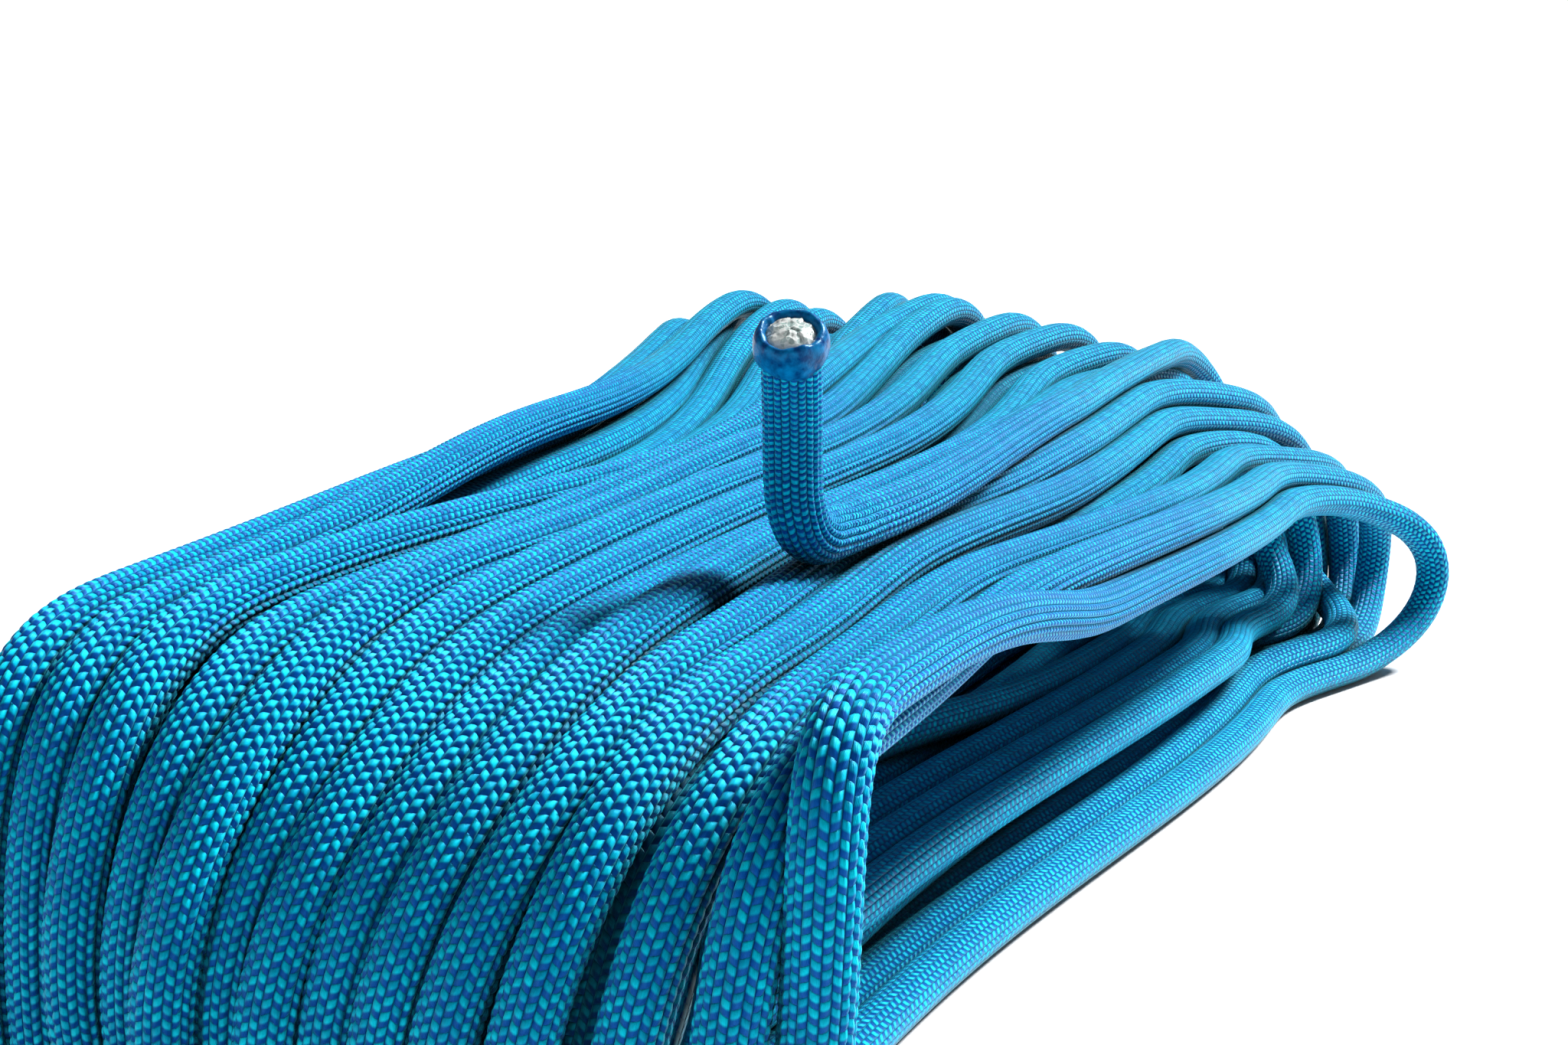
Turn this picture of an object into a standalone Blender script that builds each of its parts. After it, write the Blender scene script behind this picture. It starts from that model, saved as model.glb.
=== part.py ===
"""A flat wound hank of 4 mm braided nylon cord, with its two melted ends.

Units are metres and +Z is up. The hank's turns run along X, lie beside each other along Y
and stand on the plane Z = 0. The origin is the centre of the footprint. The standing end
lies along the top of the hank and turns up; the tail end lies along the hank's foot.
"""

import bpy
import bmesh
from math import cos, pi, sin
from mathutils import Matrix, Vector

# Cord
CORD_R = 0.0020
SHEATH_WALL = 0.00045
YARN_R = 0.00042
YARN_CIRCLE_R = 0.00100
OUTER_YARNS = 6
GAP = 0.0003
SAMPLES_PER_STEP = 3
SHEATH_ROUNDNESS = 4
YARN_ROUNDNESS = 2

# Melted ends
RIM_R = 0.00245
RIM_WALL = 0.00062
RIM_LENGTH = 0.0013
FACE_DOME = 0.0007
FACE_EDGE_DROP = 0.0002
TURN_STEPS = 20
# Rim section, in wall thicknesses: the crest, and the shoulders over and under it
RIM_CREST_IN = 0.5
RIM_CREST_UP = 0.35
RIM_UPPER_SHOULDER = 0.4
RIM_LOWER_SHOULDER = 0.6
# Face section: where the dome starts to fall, in shares of its radius and height
DOME_SHOULDER_R = 0.55
DOME_SHOULDER_H = 0.72

# Hank: the outer shape of all its turns
HANK_LENGTH = 0.206
HANK_HEIGHT = 0.0425
SIDE_ROUND = 0.0035
SIDE_ROUNDNESS = 1
ARC_STEPS = 10
RUN_STEPS = 12
ACROSS_STEPS = 8

# Plan of the hank: its right and left flanks spread towards the far end
FLAT_HALF_WIDTH = 0.050
NEAR_RIGHT_Y = -0.0285
NEAR_LEFT_Y = 0.0320
FAR_HALF_WIDTH = 0.0530
LEFT_BULGE = 0.0040
RIGHT_FAN = (-0.025, 0.093)
LEFT_FAN = (0.030, 0.093)
BULGE_SPAN = (-0.090, 0.030)

# The far right shoulder of the hank slumps
SLUMP = 0.0180
SLUMP_SPAN_Y = (0.018, -0.0425)
SLUMP_SPAN_X = (-0.150, 0.075)

# Routes of the two loose ends: centreline points from the hank to the tip
STANDING_ROUTE = (
    (0.0260, -0.0160, 0.0401),
    (0.0100, -0.0161, 0.0406),
    (-0.0080, -0.0166, 0.0411),
    (-0.0240, -0.0173, 0.0416),
    (-0.0400, -0.0174, 0.0421),
    (-0.0500, -0.0168, 0.0425),
    (-0.0560, -0.0162, 0.0428),
    (-0.0593, -0.0159, 0.0436),
    (-0.0608, -0.0157, 0.0457),
    (-0.0614, -0.0157, 0.0485),
    (-0.0623, -0.0160, 0.0515),
    (-0.0638, -0.0165, 0.0547),
    (-0.0657, -0.0171, 0.0578),
)
TAIL_ROUTE = (
    (0.0330, 0.0420, 0.00205),
    (0.0180, 0.0422, 0.00205),
    (0.0020, 0.0416, 0.00205),
    (-0.0130, 0.0412, 0.00205),
    (-0.0280, 0.0428, 0.00212),
    (-0.0420, 0.0452, 0.00235),
    (-0.0540, 0.0455, 0.00255),
)

# Edges sharper than this stay crisp, and points closer than this are one point
SHARP_ANGLE = pi / 5
SAME_POINT = 1e-6

COLOURS = {
    "sheath": ((0.010, 0.290, 0.620), 0.45),
    "melted_sheath": ((0.004, 0.090, 0.240), 0.15),
    "core_yarn": ((0.860, 0.870, 0.840), 0.50),
    "melted_core": ((0.720, 0.800, 0.740), 0.12),
}


def clear_scene():
    for old in list(bpy.data.objects):
        bpy.data.objects.remove(old, do_unlink=True)


def material(name):
    colour, roughness = COLOURS[name]
    made = bpy.data.materials.new(name)
    made.use_nodes = True
    shader = made.node_tree.nodes["Principled BSDF"]
    shader.inputs["Base Color"].default_value = (*colour, 1.0)
    shader.inputs["Roughness"].default_value = roughness
    shader.inputs["Metallic"].default_value = 0.0
    return made


def ramp(value, span):
    """How far value is along span, from 0 to 1, with soft ends."""
    t = (value - span[0]) / (span[1] - span[0])
    t = min(max(t, 0.0), 1.0)
    return t * t * (3.0 - 2.0 * t)


def right_flank(x):
    return NEAR_RIGHT_Y - (FAR_HALF_WIDTH + NEAR_RIGHT_Y) * ramp(x, RIGHT_FAN)


def left_flank(x):
    bulged = NEAR_LEFT_Y + LEFT_BULGE * ramp(x, BULGE_SPAN)
    return bulged + (FAR_HALF_WIDTH - NEAR_LEFT_Y - LEFT_BULGE) * ramp(x, LEFT_FAN)


def top_height(x, y):
    across = (y - SLUMP_SPAN_Y[0]) / (SLUMP_SPAN_Y[1] - SLUMP_SPAN_Y[0])
    across = min(max(across, 0.0), 1.0)
    return HANK_HEIGHT - SLUMP * across * across * ramp(x, SLUMP_SPAN_X)


def outline_points():
    """The hank seen from its side: two straight runs joined by round ends."""
    radius = HANK_HEIGHT / 2
    reach = HANK_LENGTH / 2 - radius
    points = []
    for step in range(RUN_STEPS):
        points.append((-reach + 2 * reach * step / RUN_STEPS, 0.0))
    for step in range(ARC_STEPS):
        angle = -pi / 2 + pi * step / ARC_STEPS
        points.append((reach + radius * cos(angle), radius + radius * sin(angle)))
    for step in range(RUN_STEPS):
        points.append((reach - 2 * reach * step / RUN_STEPS, HANK_HEIGHT))
    for step in range(ARC_STEPS):
        angle = pi / 2 + pi * step / ARC_STEPS
        points.append((-reach + radius * cos(angle), radius + radius * sin(angle)))
    return points


def mesh_from_curve(curve_object):
    """The evaluated mesh of a curve, with its caps welded. The curve is removed."""
    bpy.context.view_layer.update()
    graph = bpy.context.evaluated_depsgraph_get()
    mesh = bpy.data.meshes.new_from_object(curve_object.evaluated_get(graph))
    mesh.transform(curve_object.matrix_world)
    bpy.data.objects.remove(curve_object, do_unlink=True)
    return mesh


def add_object(collection, name, mesh, paint):
    made = bpy.data.objects.new(name, mesh)
    collection.objects.link(made)
    mesh.materials.clear()
    mesh.materials.append(paint)
    mesh.shade_smooth()
    mesh.set_sharp_from_angle(angle=SHARP_ANGLE)
    return made


def make_hank(collection, paint):
    """One closed solid of the hank's outer shape: a side outline, extruded, then shaped in plan."""
    curve = bpy.data.curves.new("hank_outline", "CURVE")
    curve.dimensions = "2D"
    curve.fill_mode = "BOTH"
    curve.extrude = FLAT_HALF_WIDTH - SIDE_ROUND
    curve.bevel_depth = SIDE_ROUND
    curve.bevel_resolution = SIDE_ROUNDNESS
    curve.offset = -SIDE_ROUND
    points = outline_points()
    spline = curve.splines.new("POLY")
    spline.points.add(len(points) - 1)
    for point, (x, z) in zip(spline.points, points):
        point.co = (x, z, 0.0, 1.0)
    spline.use_cyclic_u = True
    outline = bpy.data.objects.new("hank_outline", curve)
    collection.objects.link(outline)
    outline.matrix_world = Matrix.Rotation(pi / 2, 4, "X")
    mesh = mesh_from_curve(outline)

    shape = bmesh.new()
    shape.from_mesh(mesh)
    bmesh.ops.remove_doubles(shape, verts=shape.verts, dist=SAME_POINT)
    reach = (HANK_LENGTH - HANK_HEIGHT) / 2
    for step in range(RUN_STEPS + 1):
        cut_across(shape, (-reach + 2 * reach * step / RUN_STEPS, 0, 0), (1, 0, 0))
    flat = FLAT_HALF_WIDTH - SIDE_ROUND
    for step in range(1, ACROSS_STEPS):
        cut_across(shape, (0, -flat + 2 * flat * step / ACROSS_STEPS, 0), (0, 1, 0))
    for vert in shape.verts:
        x, y, z = vert.co
        share = (y + FLAT_HALF_WIDTH) / (2 * FLAT_HALF_WIDTH)
        y = right_flank(x) + share * (left_flank(x) - right_flank(x))
        vert.co = (x, y, z * top_height(x, y) / HANK_HEIGHT)
    bmesh.ops.triangulate(shape, faces=shape.faces)
    bmesh.ops.recalc_face_normals(shape, faces=shape.faces)
    shape.to_mesh(mesh)
    shape.free()
    return add_object(collection, "hank_body", mesh, paint)


def cut_across(shape, point, normal):
    everything = shape.verts[:] + shape.edges[:] + shape.faces[:]
    bmesh.ops.bisect_plane(
        shape, geom=everything, dist=SAME_POINT, plane_co=point, plane_no=normal
    )


def smooth_route(route):
    """Points along a smooth curve through the route's own points."""
    points = [Vector(p) for p in route]
    first = points[0] * 2 - points[1]
    last = points[-1] * 2 - points[-2]
    padded = [first, *points, last]
    smooth = []
    for a, b, c, d in zip(padded, padded[1:], padded[2:], padded[3:]):
        for step in range(SAMPLES_PER_STEP):
            t = step / SAMPLES_PER_STEP
            bend = (2 * a - 5 * b + 4 * c - d) * t * t
            turn = (3 * b - a - 3 * c + d) * t * t * t
            smooth.append((2 * b + (c - a) * t + bend + turn) / 2)
    smooth.append(points[-1])
    return smooth


def carried_axes(points):
    """For each point, the route's direction and a side axis that never twists."""
    axes = []
    ahead = (points[1] - points[0]).normalized()
    side = ahead.orthogonal().normalized()
    for index, point in enumerate(points):
        before = points[max(index - 1, 0)]
        after = points[min(index + 1, len(points) - 1)]
        turned = (after - before).normalized()
        side = ahead.rotation_difference(turned) @ side
        ahead = turned
        axes.append((ahead, side.normalized()))
    return axes


def beside(points, axes, radius, angle):
    """The route moved sideways by radius, at an angle round it."""
    moved = []
    for point, (ahead, side) in zip(points, axes):
        other = ahead.cross(side)
        moved.append(point + radius * (side * cos(angle) + other * sin(angle)))
    return moved


def tube(collection, name, points, radius, resolution, capped):
    curve = bpy.data.curves.new(name, "CURVE")
    curve.dimensions = "3D"
    curve.bevel_depth = radius
    curve.bevel_resolution = resolution
    curve.use_fill_caps = capped
    spline = curve.splines.new("POLY")
    spline.points.add(len(points) - 1)
    for point, place in zip(spline.points, points):
        point.co = (*place, 1.0)
    made = bpy.data.objects.new(name, curve)
    collection.objects.link(made)
    return made


def make_sheath(collection, name, points, paint):
    """The braided sheath as an open tube with a wall that grows inwards."""
    route = tube(collection, name, points, CORD_R, SHEATH_ROUNDNESS, False)
    made = add_object(collection, name, mesh_from_curve(route), paint)
    wall = made.modifiers.new("sheath_wall", "SOLIDIFY")
    wall.thickness = SHEATH_WALL
    wall.offset = -1.0
    wall.use_even_offset = True
    return made


def make_yarns(collection, prefix, points, axes, paint):
    centre = tube(collection, prefix + "_core_yarn_centre", points, YARN_R, YARN_ROUNDNESS, True)
    centre.data.materials.append(paint)
    for index in range(OUTER_YARNS):
        angle = 2 * pi * index / OUTER_YARNS
        place = beside(points, axes, YARN_CIRCLE_R, angle)
        name = f"{prefix}_core_yarn_{index + 1}"
        yarn = tube(collection, name, place, YARN_R, YARN_ROUNDNESS, True)
        yarn.data.materials.append(paint)


def turned_piece(collection, name, profile, closed, paint, tip, ahead):
    """A profile of (radius, height) turned round the route's end."""
    mesh = bpy.data.meshes.new(name)
    edges = [(i, i + 1) for i in range(len(profile) - 1)]
    if closed:
        edges.append((len(profile) - 1, 0))
    mesh.from_pydata([(r, 0.0, h) for r, h in profile], edges, [])
    made = bpy.data.objects.new(name, mesh)
    collection.objects.link(made)
    screw = made.modifiers.new("turned", "SCREW")
    screw.axis = "Z"
    screw.steps = TURN_STEPS
    screw.render_steps = TURN_STEPS
    screw.use_merge_vertices = True
    screw.merge_threshold = SAME_POINT
    made.data.materials.append(paint)
    made.location = tip
    made.rotation_mode = "QUATERNION"
    made.rotation_quaternion = Vector((0, 0, 1)).rotation_difference(ahead)
    return made


def make_melted_end(collection, prefix, tip, ahead, rim_paint, face_paint):
    """The sheath's melted rim, and inside it the melted core with a low dome."""
    low = GAP
    high = GAP + RIM_LENGTH
    inner = RIM_R - RIM_WALL
    rim = (
        (inner, high),
        (inner + RIM_WALL * RIM_CREST_IN, high + RIM_WALL * RIM_CREST_UP),
        (RIM_R, high - RIM_WALL * RIM_UPPER_SHOULDER),
        (RIM_R, low + RIM_WALL * RIM_LOWER_SHOULDER),
        (CORD_R, low),
        (inner, low),
    )
    turned_piece(collection, prefix + "_melted_rim", rim, True, rim_paint, tip, ahead)
    edge = inner - GAP
    face = (
        (0.0, high + FACE_DOME),
        (edge * DOME_SHOULDER_R, high + FACE_DOME * DOME_SHOULDER_H),
        (edge, high - FACE_EDGE_DROP),
        (edge, low),
        (0.0, low),
    )
    turned_piece(collection, prefix + "_melted_core", face, False, face_paint, tip, ahead)


def make_loose_end(collection, prefix, route, paints):
    points = smooth_route(route)
    axes = carried_axes(points)
    make_sheath(collection, prefix + "_sheath", points, paints["sheath"])
    make_yarns(collection, prefix, points, axes, paints["core_yarn"])
    make_melted_end(
        collection, prefix, points[-1], axes[-1][0],
        paints["melted_sheath"], paints["melted_core"],
    )


def main():
    clear_scene()
    hank = bpy.data.collections.new("cord_hank")
    bpy.context.scene.collection.children.link(hank)
    paints = {name: material(name) for name in COLOURS}
    make_hank(hank, paints["sheath"])
    make_loose_end(hank, "standing_end", STANDING_ROUTE, paints)
    make_loose_end(hank, "tail_end", TAIL_ROUTE, paints)


main()
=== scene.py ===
"""A hank of braided nylon cord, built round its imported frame.

One long cord is wound in three layers round a flat hollow, settled until its turns lie
against each other, and given a braid of short picks. Both of its ends are melted shut.
"""

import itertools
import math

import bpy
import numpy as np
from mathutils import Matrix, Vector


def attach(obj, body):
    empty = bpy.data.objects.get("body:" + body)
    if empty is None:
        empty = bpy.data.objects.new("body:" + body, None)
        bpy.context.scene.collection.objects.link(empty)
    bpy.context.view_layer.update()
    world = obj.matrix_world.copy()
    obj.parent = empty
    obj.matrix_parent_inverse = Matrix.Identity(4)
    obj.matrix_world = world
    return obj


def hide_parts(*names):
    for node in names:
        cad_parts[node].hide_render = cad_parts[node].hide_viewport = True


bl_info = {
    "name": "Cord hank",
    "version": (1, 0, 0),
    "blender": (4, 5, 0),
    "location": "3D View > Sidebar > Cord hank",
    "description": "Builds a wound hank of braided cord with melted ends",
    "category": "Object",
}

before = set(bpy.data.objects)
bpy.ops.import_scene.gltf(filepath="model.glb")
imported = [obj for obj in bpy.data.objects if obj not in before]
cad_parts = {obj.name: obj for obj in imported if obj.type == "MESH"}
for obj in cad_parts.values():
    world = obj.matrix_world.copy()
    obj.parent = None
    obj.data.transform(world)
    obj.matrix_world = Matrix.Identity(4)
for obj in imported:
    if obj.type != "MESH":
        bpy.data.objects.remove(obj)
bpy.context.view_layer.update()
BODY = "root"
TINY = 1e-12

# Routes of the two loose ends, from the hank to the tip, as the frame has them
STANDING_ROUTE = (
    (0.0260, -0.0160, 0.0401),
    (0.0100, -0.0161, 0.0406),
    (-0.0080, -0.0166, 0.0411),
    (-0.0240, -0.0173, 0.0416),
    (-0.0400, -0.0174, 0.0421),
    (-0.0500, -0.0168, 0.0425),
    (-0.0560, -0.0162, 0.0428),
    (-0.0593, -0.0159, 0.0436),
    (-0.0608, -0.0157, 0.0457),
    (-0.0614, -0.0157, 0.0485),
    (-0.0623, -0.0160, 0.0515),
    (-0.0638, -0.0165, 0.0547),
    (-0.0657, -0.0171, 0.0578),
)
TAIL_ROUTE = (
    (0.0330, 0.0420, 0.00205),
    (0.0180, 0.0422, 0.00205),
    (0.0020, 0.0416, 0.00205),
    (-0.0130, 0.0412, 0.00205),
    (-0.0280, 0.0428, 0.00212),
    (-0.0420, 0.0452, 0.00235),
    (-0.0540, 0.0455, 0.00255),
)

# From the last turn's foot, up inside the far end and back over the top
OVER_ROUTE = (
    (0.0820, -0.0385, 0.0045),
    (0.0910, -0.0330, 0.0075),
    (0.0970, -0.0275, 0.0145),
    (0.0985, -0.0225, 0.0240),
    (0.0952, -0.0192, 0.0322),
    (0.0860, -0.0172, 0.0370),
    (0.0700, -0.0164, 0.0388),
    (0.0480, -0.0160, 0.0396),
)


# ---------------------------------------------------------------- settings


class CordSettings(bpy.types.PropertyGroup):
    diameter: bpy.props.FloatProperty(
        name="Diameter", description="Cord diameter", default=0.004, unit="LENGTH"
    )
    length: bpy.props.FloatProperty(
        name="Length", description="Whole length of the cord", default=17.2, unit="LENGTH"
    )
    braid_pitch: bpy.props.FloatProperty(
        name="Braid pitch", description="Length in which one carrier goes once round",
        default=0.0176, unit="LENGTH",
    )
    stripes: bpy.props.IntProperty(
        name="Stripes", description="Lengthwise stripes of picks round the sheath", default=20
    )
    relief: bpy.props.FloatProperty(
        name="Relief", description="Height of a pick over the gap beside it",
        default=0.00024, unit="LENGTH",
    )
    flatness: bpy.props.FloatProperty(
        name="Flatness", description="How much wider than thick the wound cord is",
        default=0.12, subtype="FACTOR",
    )
    colour: bpy.props.FloatVectorProperty(
        name="Colour", description="Colour of the sheath yarns", subtype="COLOR",
        size=3, default=(0.000, 0.055, 0.310),
    )
    # Painted shade for the low gaps between the picks; also the colour of the random mottling
    gap_shade_and_mottle_colour: bpy.props.FloatVectorProperty(
        name="Gap shade colour", description="Colour between the picks", subtype="COLOR",
        size=3, default=(0.000, 0.024, 0.130),
    )
    # Painted highlight: the pale colour laid on one half of each pick's crest
    painted_highlight_colour: bpy.props.FloatVectorProperty(
        name="Painted highlight colour", description="Colour of the pick's painted highlight", subtype="COLOR",
        size=3, default=(0.000, 0.700, 0.880),
    )


class HankSettings(bpy.types.PropertyGroup):
    turns: bpy.props.IntProperty(
        name="Turns a layer", description="Turns side by side; every second layer nests one fewer",
        default=14,
    )
    layers: bpy.props.IntProperty(
        name="Layers", description="Layers of turns over each other", default=3
    )
    unevenness: bpy.props.FloatProperty(
        name="Unevenness", description="How far a turn strays from its place",
        default=0.0011, unit="LENGTH",
    )
    crossings: bpy.props.FloatProperty(
        name="Crossings", description="Share of outer turns that wander over the next one",
        default=0.35, subtype="FACTOR",
    )
    seed: bpy.props.IntProperty(name="Seed", description="Seed of the unevenness", default=11)


class StageSettings(bpy.types.PropertyGroup):
    floor_colour: bpy.props.FloatVectorProperty(
        name="Floor", description="Colour of the floor", subtype="COLOR",
        size=3, default=(0.93, 0.94, 0.95),
    )
    key_strength: bpy.props.FloatProperty(
        name="Key light", description="Strength of the key light", default=9.0
    )
    key_softness: bpy.props.FloatProperty(
        name="Softness", description="Width of the key light, in degrees", default=16.0
    )
    fill_strength: bpy.props.FloatProperty(
        name="Fill", description="Brightness of the room overhead", default=0.16
    )


def settings(name):
    """One of the scene's groups of settings."""
    return getattr(bpy.context.scene, name)


# ---------------------------------------------------------------- outer shape of the hank

HANK_HEIGHT = 0.0425
SLUMP = 0.0180
SLUMP_FROM_Y = 0.018
SLUMP_WIDTH = 0.0605
SLUMP_SPAN = (-0.150, 0.075)

# Where the sides are across the hank, how far they move along it, and from where to where
HIGH_RIGHT = 0.0290
HIGH_RIGHT_NEAR = 0.0026
HIGH_RIGHT_NEAR_SPAN = (-0.095, -0.040)
HIGH_RIGHT_MIDDLE = 0.0075
HIGH_RIGHT_MIDDLE_SPAN = (-0.060, 0.075)
HIGH_RIGHT_FAR = 0.0115
HIGH_RIGHT_FAR_SPAN = (0.052, 0.092)
HIGH_LEFT = 0.0312
HIGH_LEFT_FAN = 0.0215
HIGH_LEFT_SPAN = (-0.010, 0.095)
LOW_RIGHT = -0.0160
LOW_RIGHT_NEAR = 0.0095
LOW_RIGHT_NEAR_SPAN = (-0.094, -0.066)
LOW_RIGHT_MIDDLE = 0.0170
LOW_RIGHT_MIDDLE_SPAN = (-0.060, 0.062)
LOW_RIGHT_FAR = 0.0150
LOW_RIGHT_FAR_SPAN = (0.052, 0.085)
LOW_LEFT = 0.0320
LOW_LEFT_NEAR = 0.0065
LOW_LEFT_NEAR_SPAN = (-0.095, -0.050)
LOW_LEFT_FAR = 0.0140
LOW_LEFT_FAR_SPAN = (0.005, 0.085)


def ramp(value, start, end):
    """How far value is from start to end, 0 to 1, with soft ends."""
    t = np.clip((value - start) / (end - start), 0.0, 1.0)
    return t * t * (3.0 - 2.0 * t)


def top_height(x, y):
    """The hank's top, which slumps towards the right and the far end."""
    across = np.clip((SLUMP_FROM_Y - y) / SLUMP_WIDTH, 0.0, 1.0)
    return HANK_HEIGHT - SLUMP * across * across * ramp(x, *SLUMP_SPAN)


def high_right_edge(x):
    """The right side along the top."""
    near = -HIGH_RIGHT_NEAR * (1.0 - ramp(x, *HIGH_RIGHT_NEAR_SPAN))
    middle = near - HIGH_RIGHT - HIGH_RIGHT_MIDDLE * ramp(x, *HIGH_RIGHT_MIDDLE_SPAN)
    return middle - HIGH_RIGHT_FAR * ramp(x, *HIGH_RIGHT_FAR_SPAN)


def high_left_edge(x):
    """The left side along the top."""
    return HIGH_LEFT + HIGH_LEFT_FAN * ramp(x, *HIGH_LEFT_SPAN)


def low_right_edge(x):
    """The right side at the table, further in than the top's."""
    middle = LOW_RIGHT - LOW_RIGHT_MIDDLE * ramp(x, *LOW_RIGHT_MIDDLE_SPAN)
    middle = middle - LOW_RIGHT_FAR * ramp(x, *LOW_RIGHT_FAR_SPAN)
    return middle - LOW_RIGHT_NEAR * (1.0 - ramp(x, *LOW_RIGHT_NEAR_SPAN))


def low_left_edge(x):
    """The left side at the table."""
    near = LOW_LEFT + LOW_LEFT_NEAR * ramp(x, *LOW_LEFT_NEAR_SPAN)
    return near + LOW_LEFT_FAR * ramp(x, *LOW_LEFT_FAR_SPAN)


# ---------------------------------------------------------------- the cord's route

SPACING = 0.0025


def along_of(points):
    """The distance along the line at each of its points."""
    return np.concatenate([[0.0], np.cumsum(np.linalg.norm(np.diff(points, axis=0), axis=1))])


def spaced_at(points, along, places):
    """Points of the smooth curve through points, at the given distances along it."""
    index = np.clip(np.searchsorted(along, places, side="right") - 1, 0, len(points) - 2)
    gap = (along[index + 1] - along[index])[:, None]
    t = (places - along[index])[:, None] / np.maximum(gap, TINY)
    slope = np.gradient(points, along, axis=0)
    a, b = points[index], points[index + 1]
    da, db = slope[index] * gap, slope[index + 1] * gap
    eased = t * t * (3 - 2 * t)
    return a + (b - a) * eased + da * t * (1 - t) ** 2 - db * t * t * (1 - t)


def spaced(line, step):
    """The line with points about step apart, on a smooth curve through its own points."""
    along = along_of(line)
    count = max(2, int(math.ceil(along[-1] / step)) + 1)
    return spaced_at(line, along, np.linspace(0.0, along[-1], count))


# How a turn lies, in metres. Each span is where a change along x, or across the hank, starts
# and ends; each layer number is for one layer further in.
LAYER_STEP = 1.9
EDGE_TURNS = 5.0
FAR_REACH = 0.0970
FAR_LIMIT = 0.0985
FAR_RIGHT_SHORT = 0.0110
FAR_LEFT_SHORT = 0.018
FAR_STRAY = 1.2
FAR_LAYER_STEP = 0.5
FAR_ROUND = 0.0195
FAR_ROUND_LAYER = 0.40
FAR_ROUND_RIGHT = 0.005
FAR_ARC_POINTS = 22
NEAR_REACH = -0.0990
NEAR_LEFT_SHORT = 0.0030
NEAR_LEFT_SPAN = (0.45, 1.05)
NEAR_OUTERMOST = 0.0012
NEAR_STRAY = 0.6
NEAR_ROUND = 0.0048
NEAR_ROUND_GROWTH = 0.0192
NEAR_ROUND_SPAN = (0.0, 0.25)
NEAR_ROUND_LAYER = 0.3
NEAR_ROUND_LEAST = 0.0045
NEAR_ROUND_LEFT = 0.0140
NEAR_ROUND_LEFT_SPAN = (0.50, 1.0)
NEAR_ARC_POINTS = 30
# The near corner's power: a low one is square, 1 is round
CORNER_POWER = 0.60
CORNER_GROWTH = 0.35
CORNER_SPAN = (0.0, 0.30)
CORNER_LEFT = 0.20
CORNER_LEFT_SPAN = (0.6, 1.0)
# The turn moves over to its neighbour's place along the bottom
STEP_OVER_SPAN = (0.05, 0.95)
SIDE_INSET = 1.05
UPRIGHT_FADE = 12.0
UPRIGHT_SPAN = (0.0, 0.5)
TUCK = 0.0030
TUCK_LAYER = 0.0055
FAN_SPAN = (0.040, 0.088)
FAN_CROWDING = 0.14
NEAR_TUCK = 0.0010
NEAR_TUCK_LAYER = 0.0035
NEAR_TUCK_SPAN = (0.045, 0.085)
HIGH_TUCK_LAYER = 0.0035
HIGH_TUCK_SPAN = (-0.090, -0.050)
LOW_SWING = 0.0060
LOW_SWING_SPAN = (0.040, 0.090)
LAST_LOOP_OUT = 0.0058
LAST_LOOP_SPAN = (0.062, 0.086)
LEAN = 0.0060
LEAN_SHARE = 1.5
LEAN_SPAN = (0.050, 0.085)
HALF_LENGTH = 0.103
SWAY_LEAST = 0.35
SWAY_GROWTH = 0.65
SWAY_GROWTH_SPAN = (0.0, 0.2)
SWAY_RUN = 1.2
SWAY_FAR = 0.7
SWAY_FAR_SPAN = (0.02, 0.10)
INSIDE_THINNING = 0.45
INSIDE_SPAN = (0.030, 0.085)
LOWEST = 1.02
FAR_RISE = 0.0042
FAR_RISE_SPAN = (0.040, 0.095)
FAR_RISE_SHARES = (0.25, 0.75)
SAG_RUN = 0.8
SAG_FAR = 0.6
SAG_FAR_SPAN = (0.03, 0.10)
BESIDE_END_WIDTH = 0.006
BESIDE_END_RISE = 0.0018
BESIDE_END_SPAN = (-0.075, -0.040)
OUTERMOST_RISE = 0.0034
OUTERMOST_RISE_SPAN = (0.020, 0.080)
CROSSING_FROM_SHARE = 0.12
CROSSING_MIDDLE = (-0.070, 0.040)
CROSSING_REACH = 0.045
CROSSING_SHIFT = (0.0035, 0.0060)
CROSSING_RISE = 0.0016
CROSSING_RISE_WIDTH = 0.03


def signed_power(value, power):
    return np.sign(value) * np.abs(value) ** power


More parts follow.
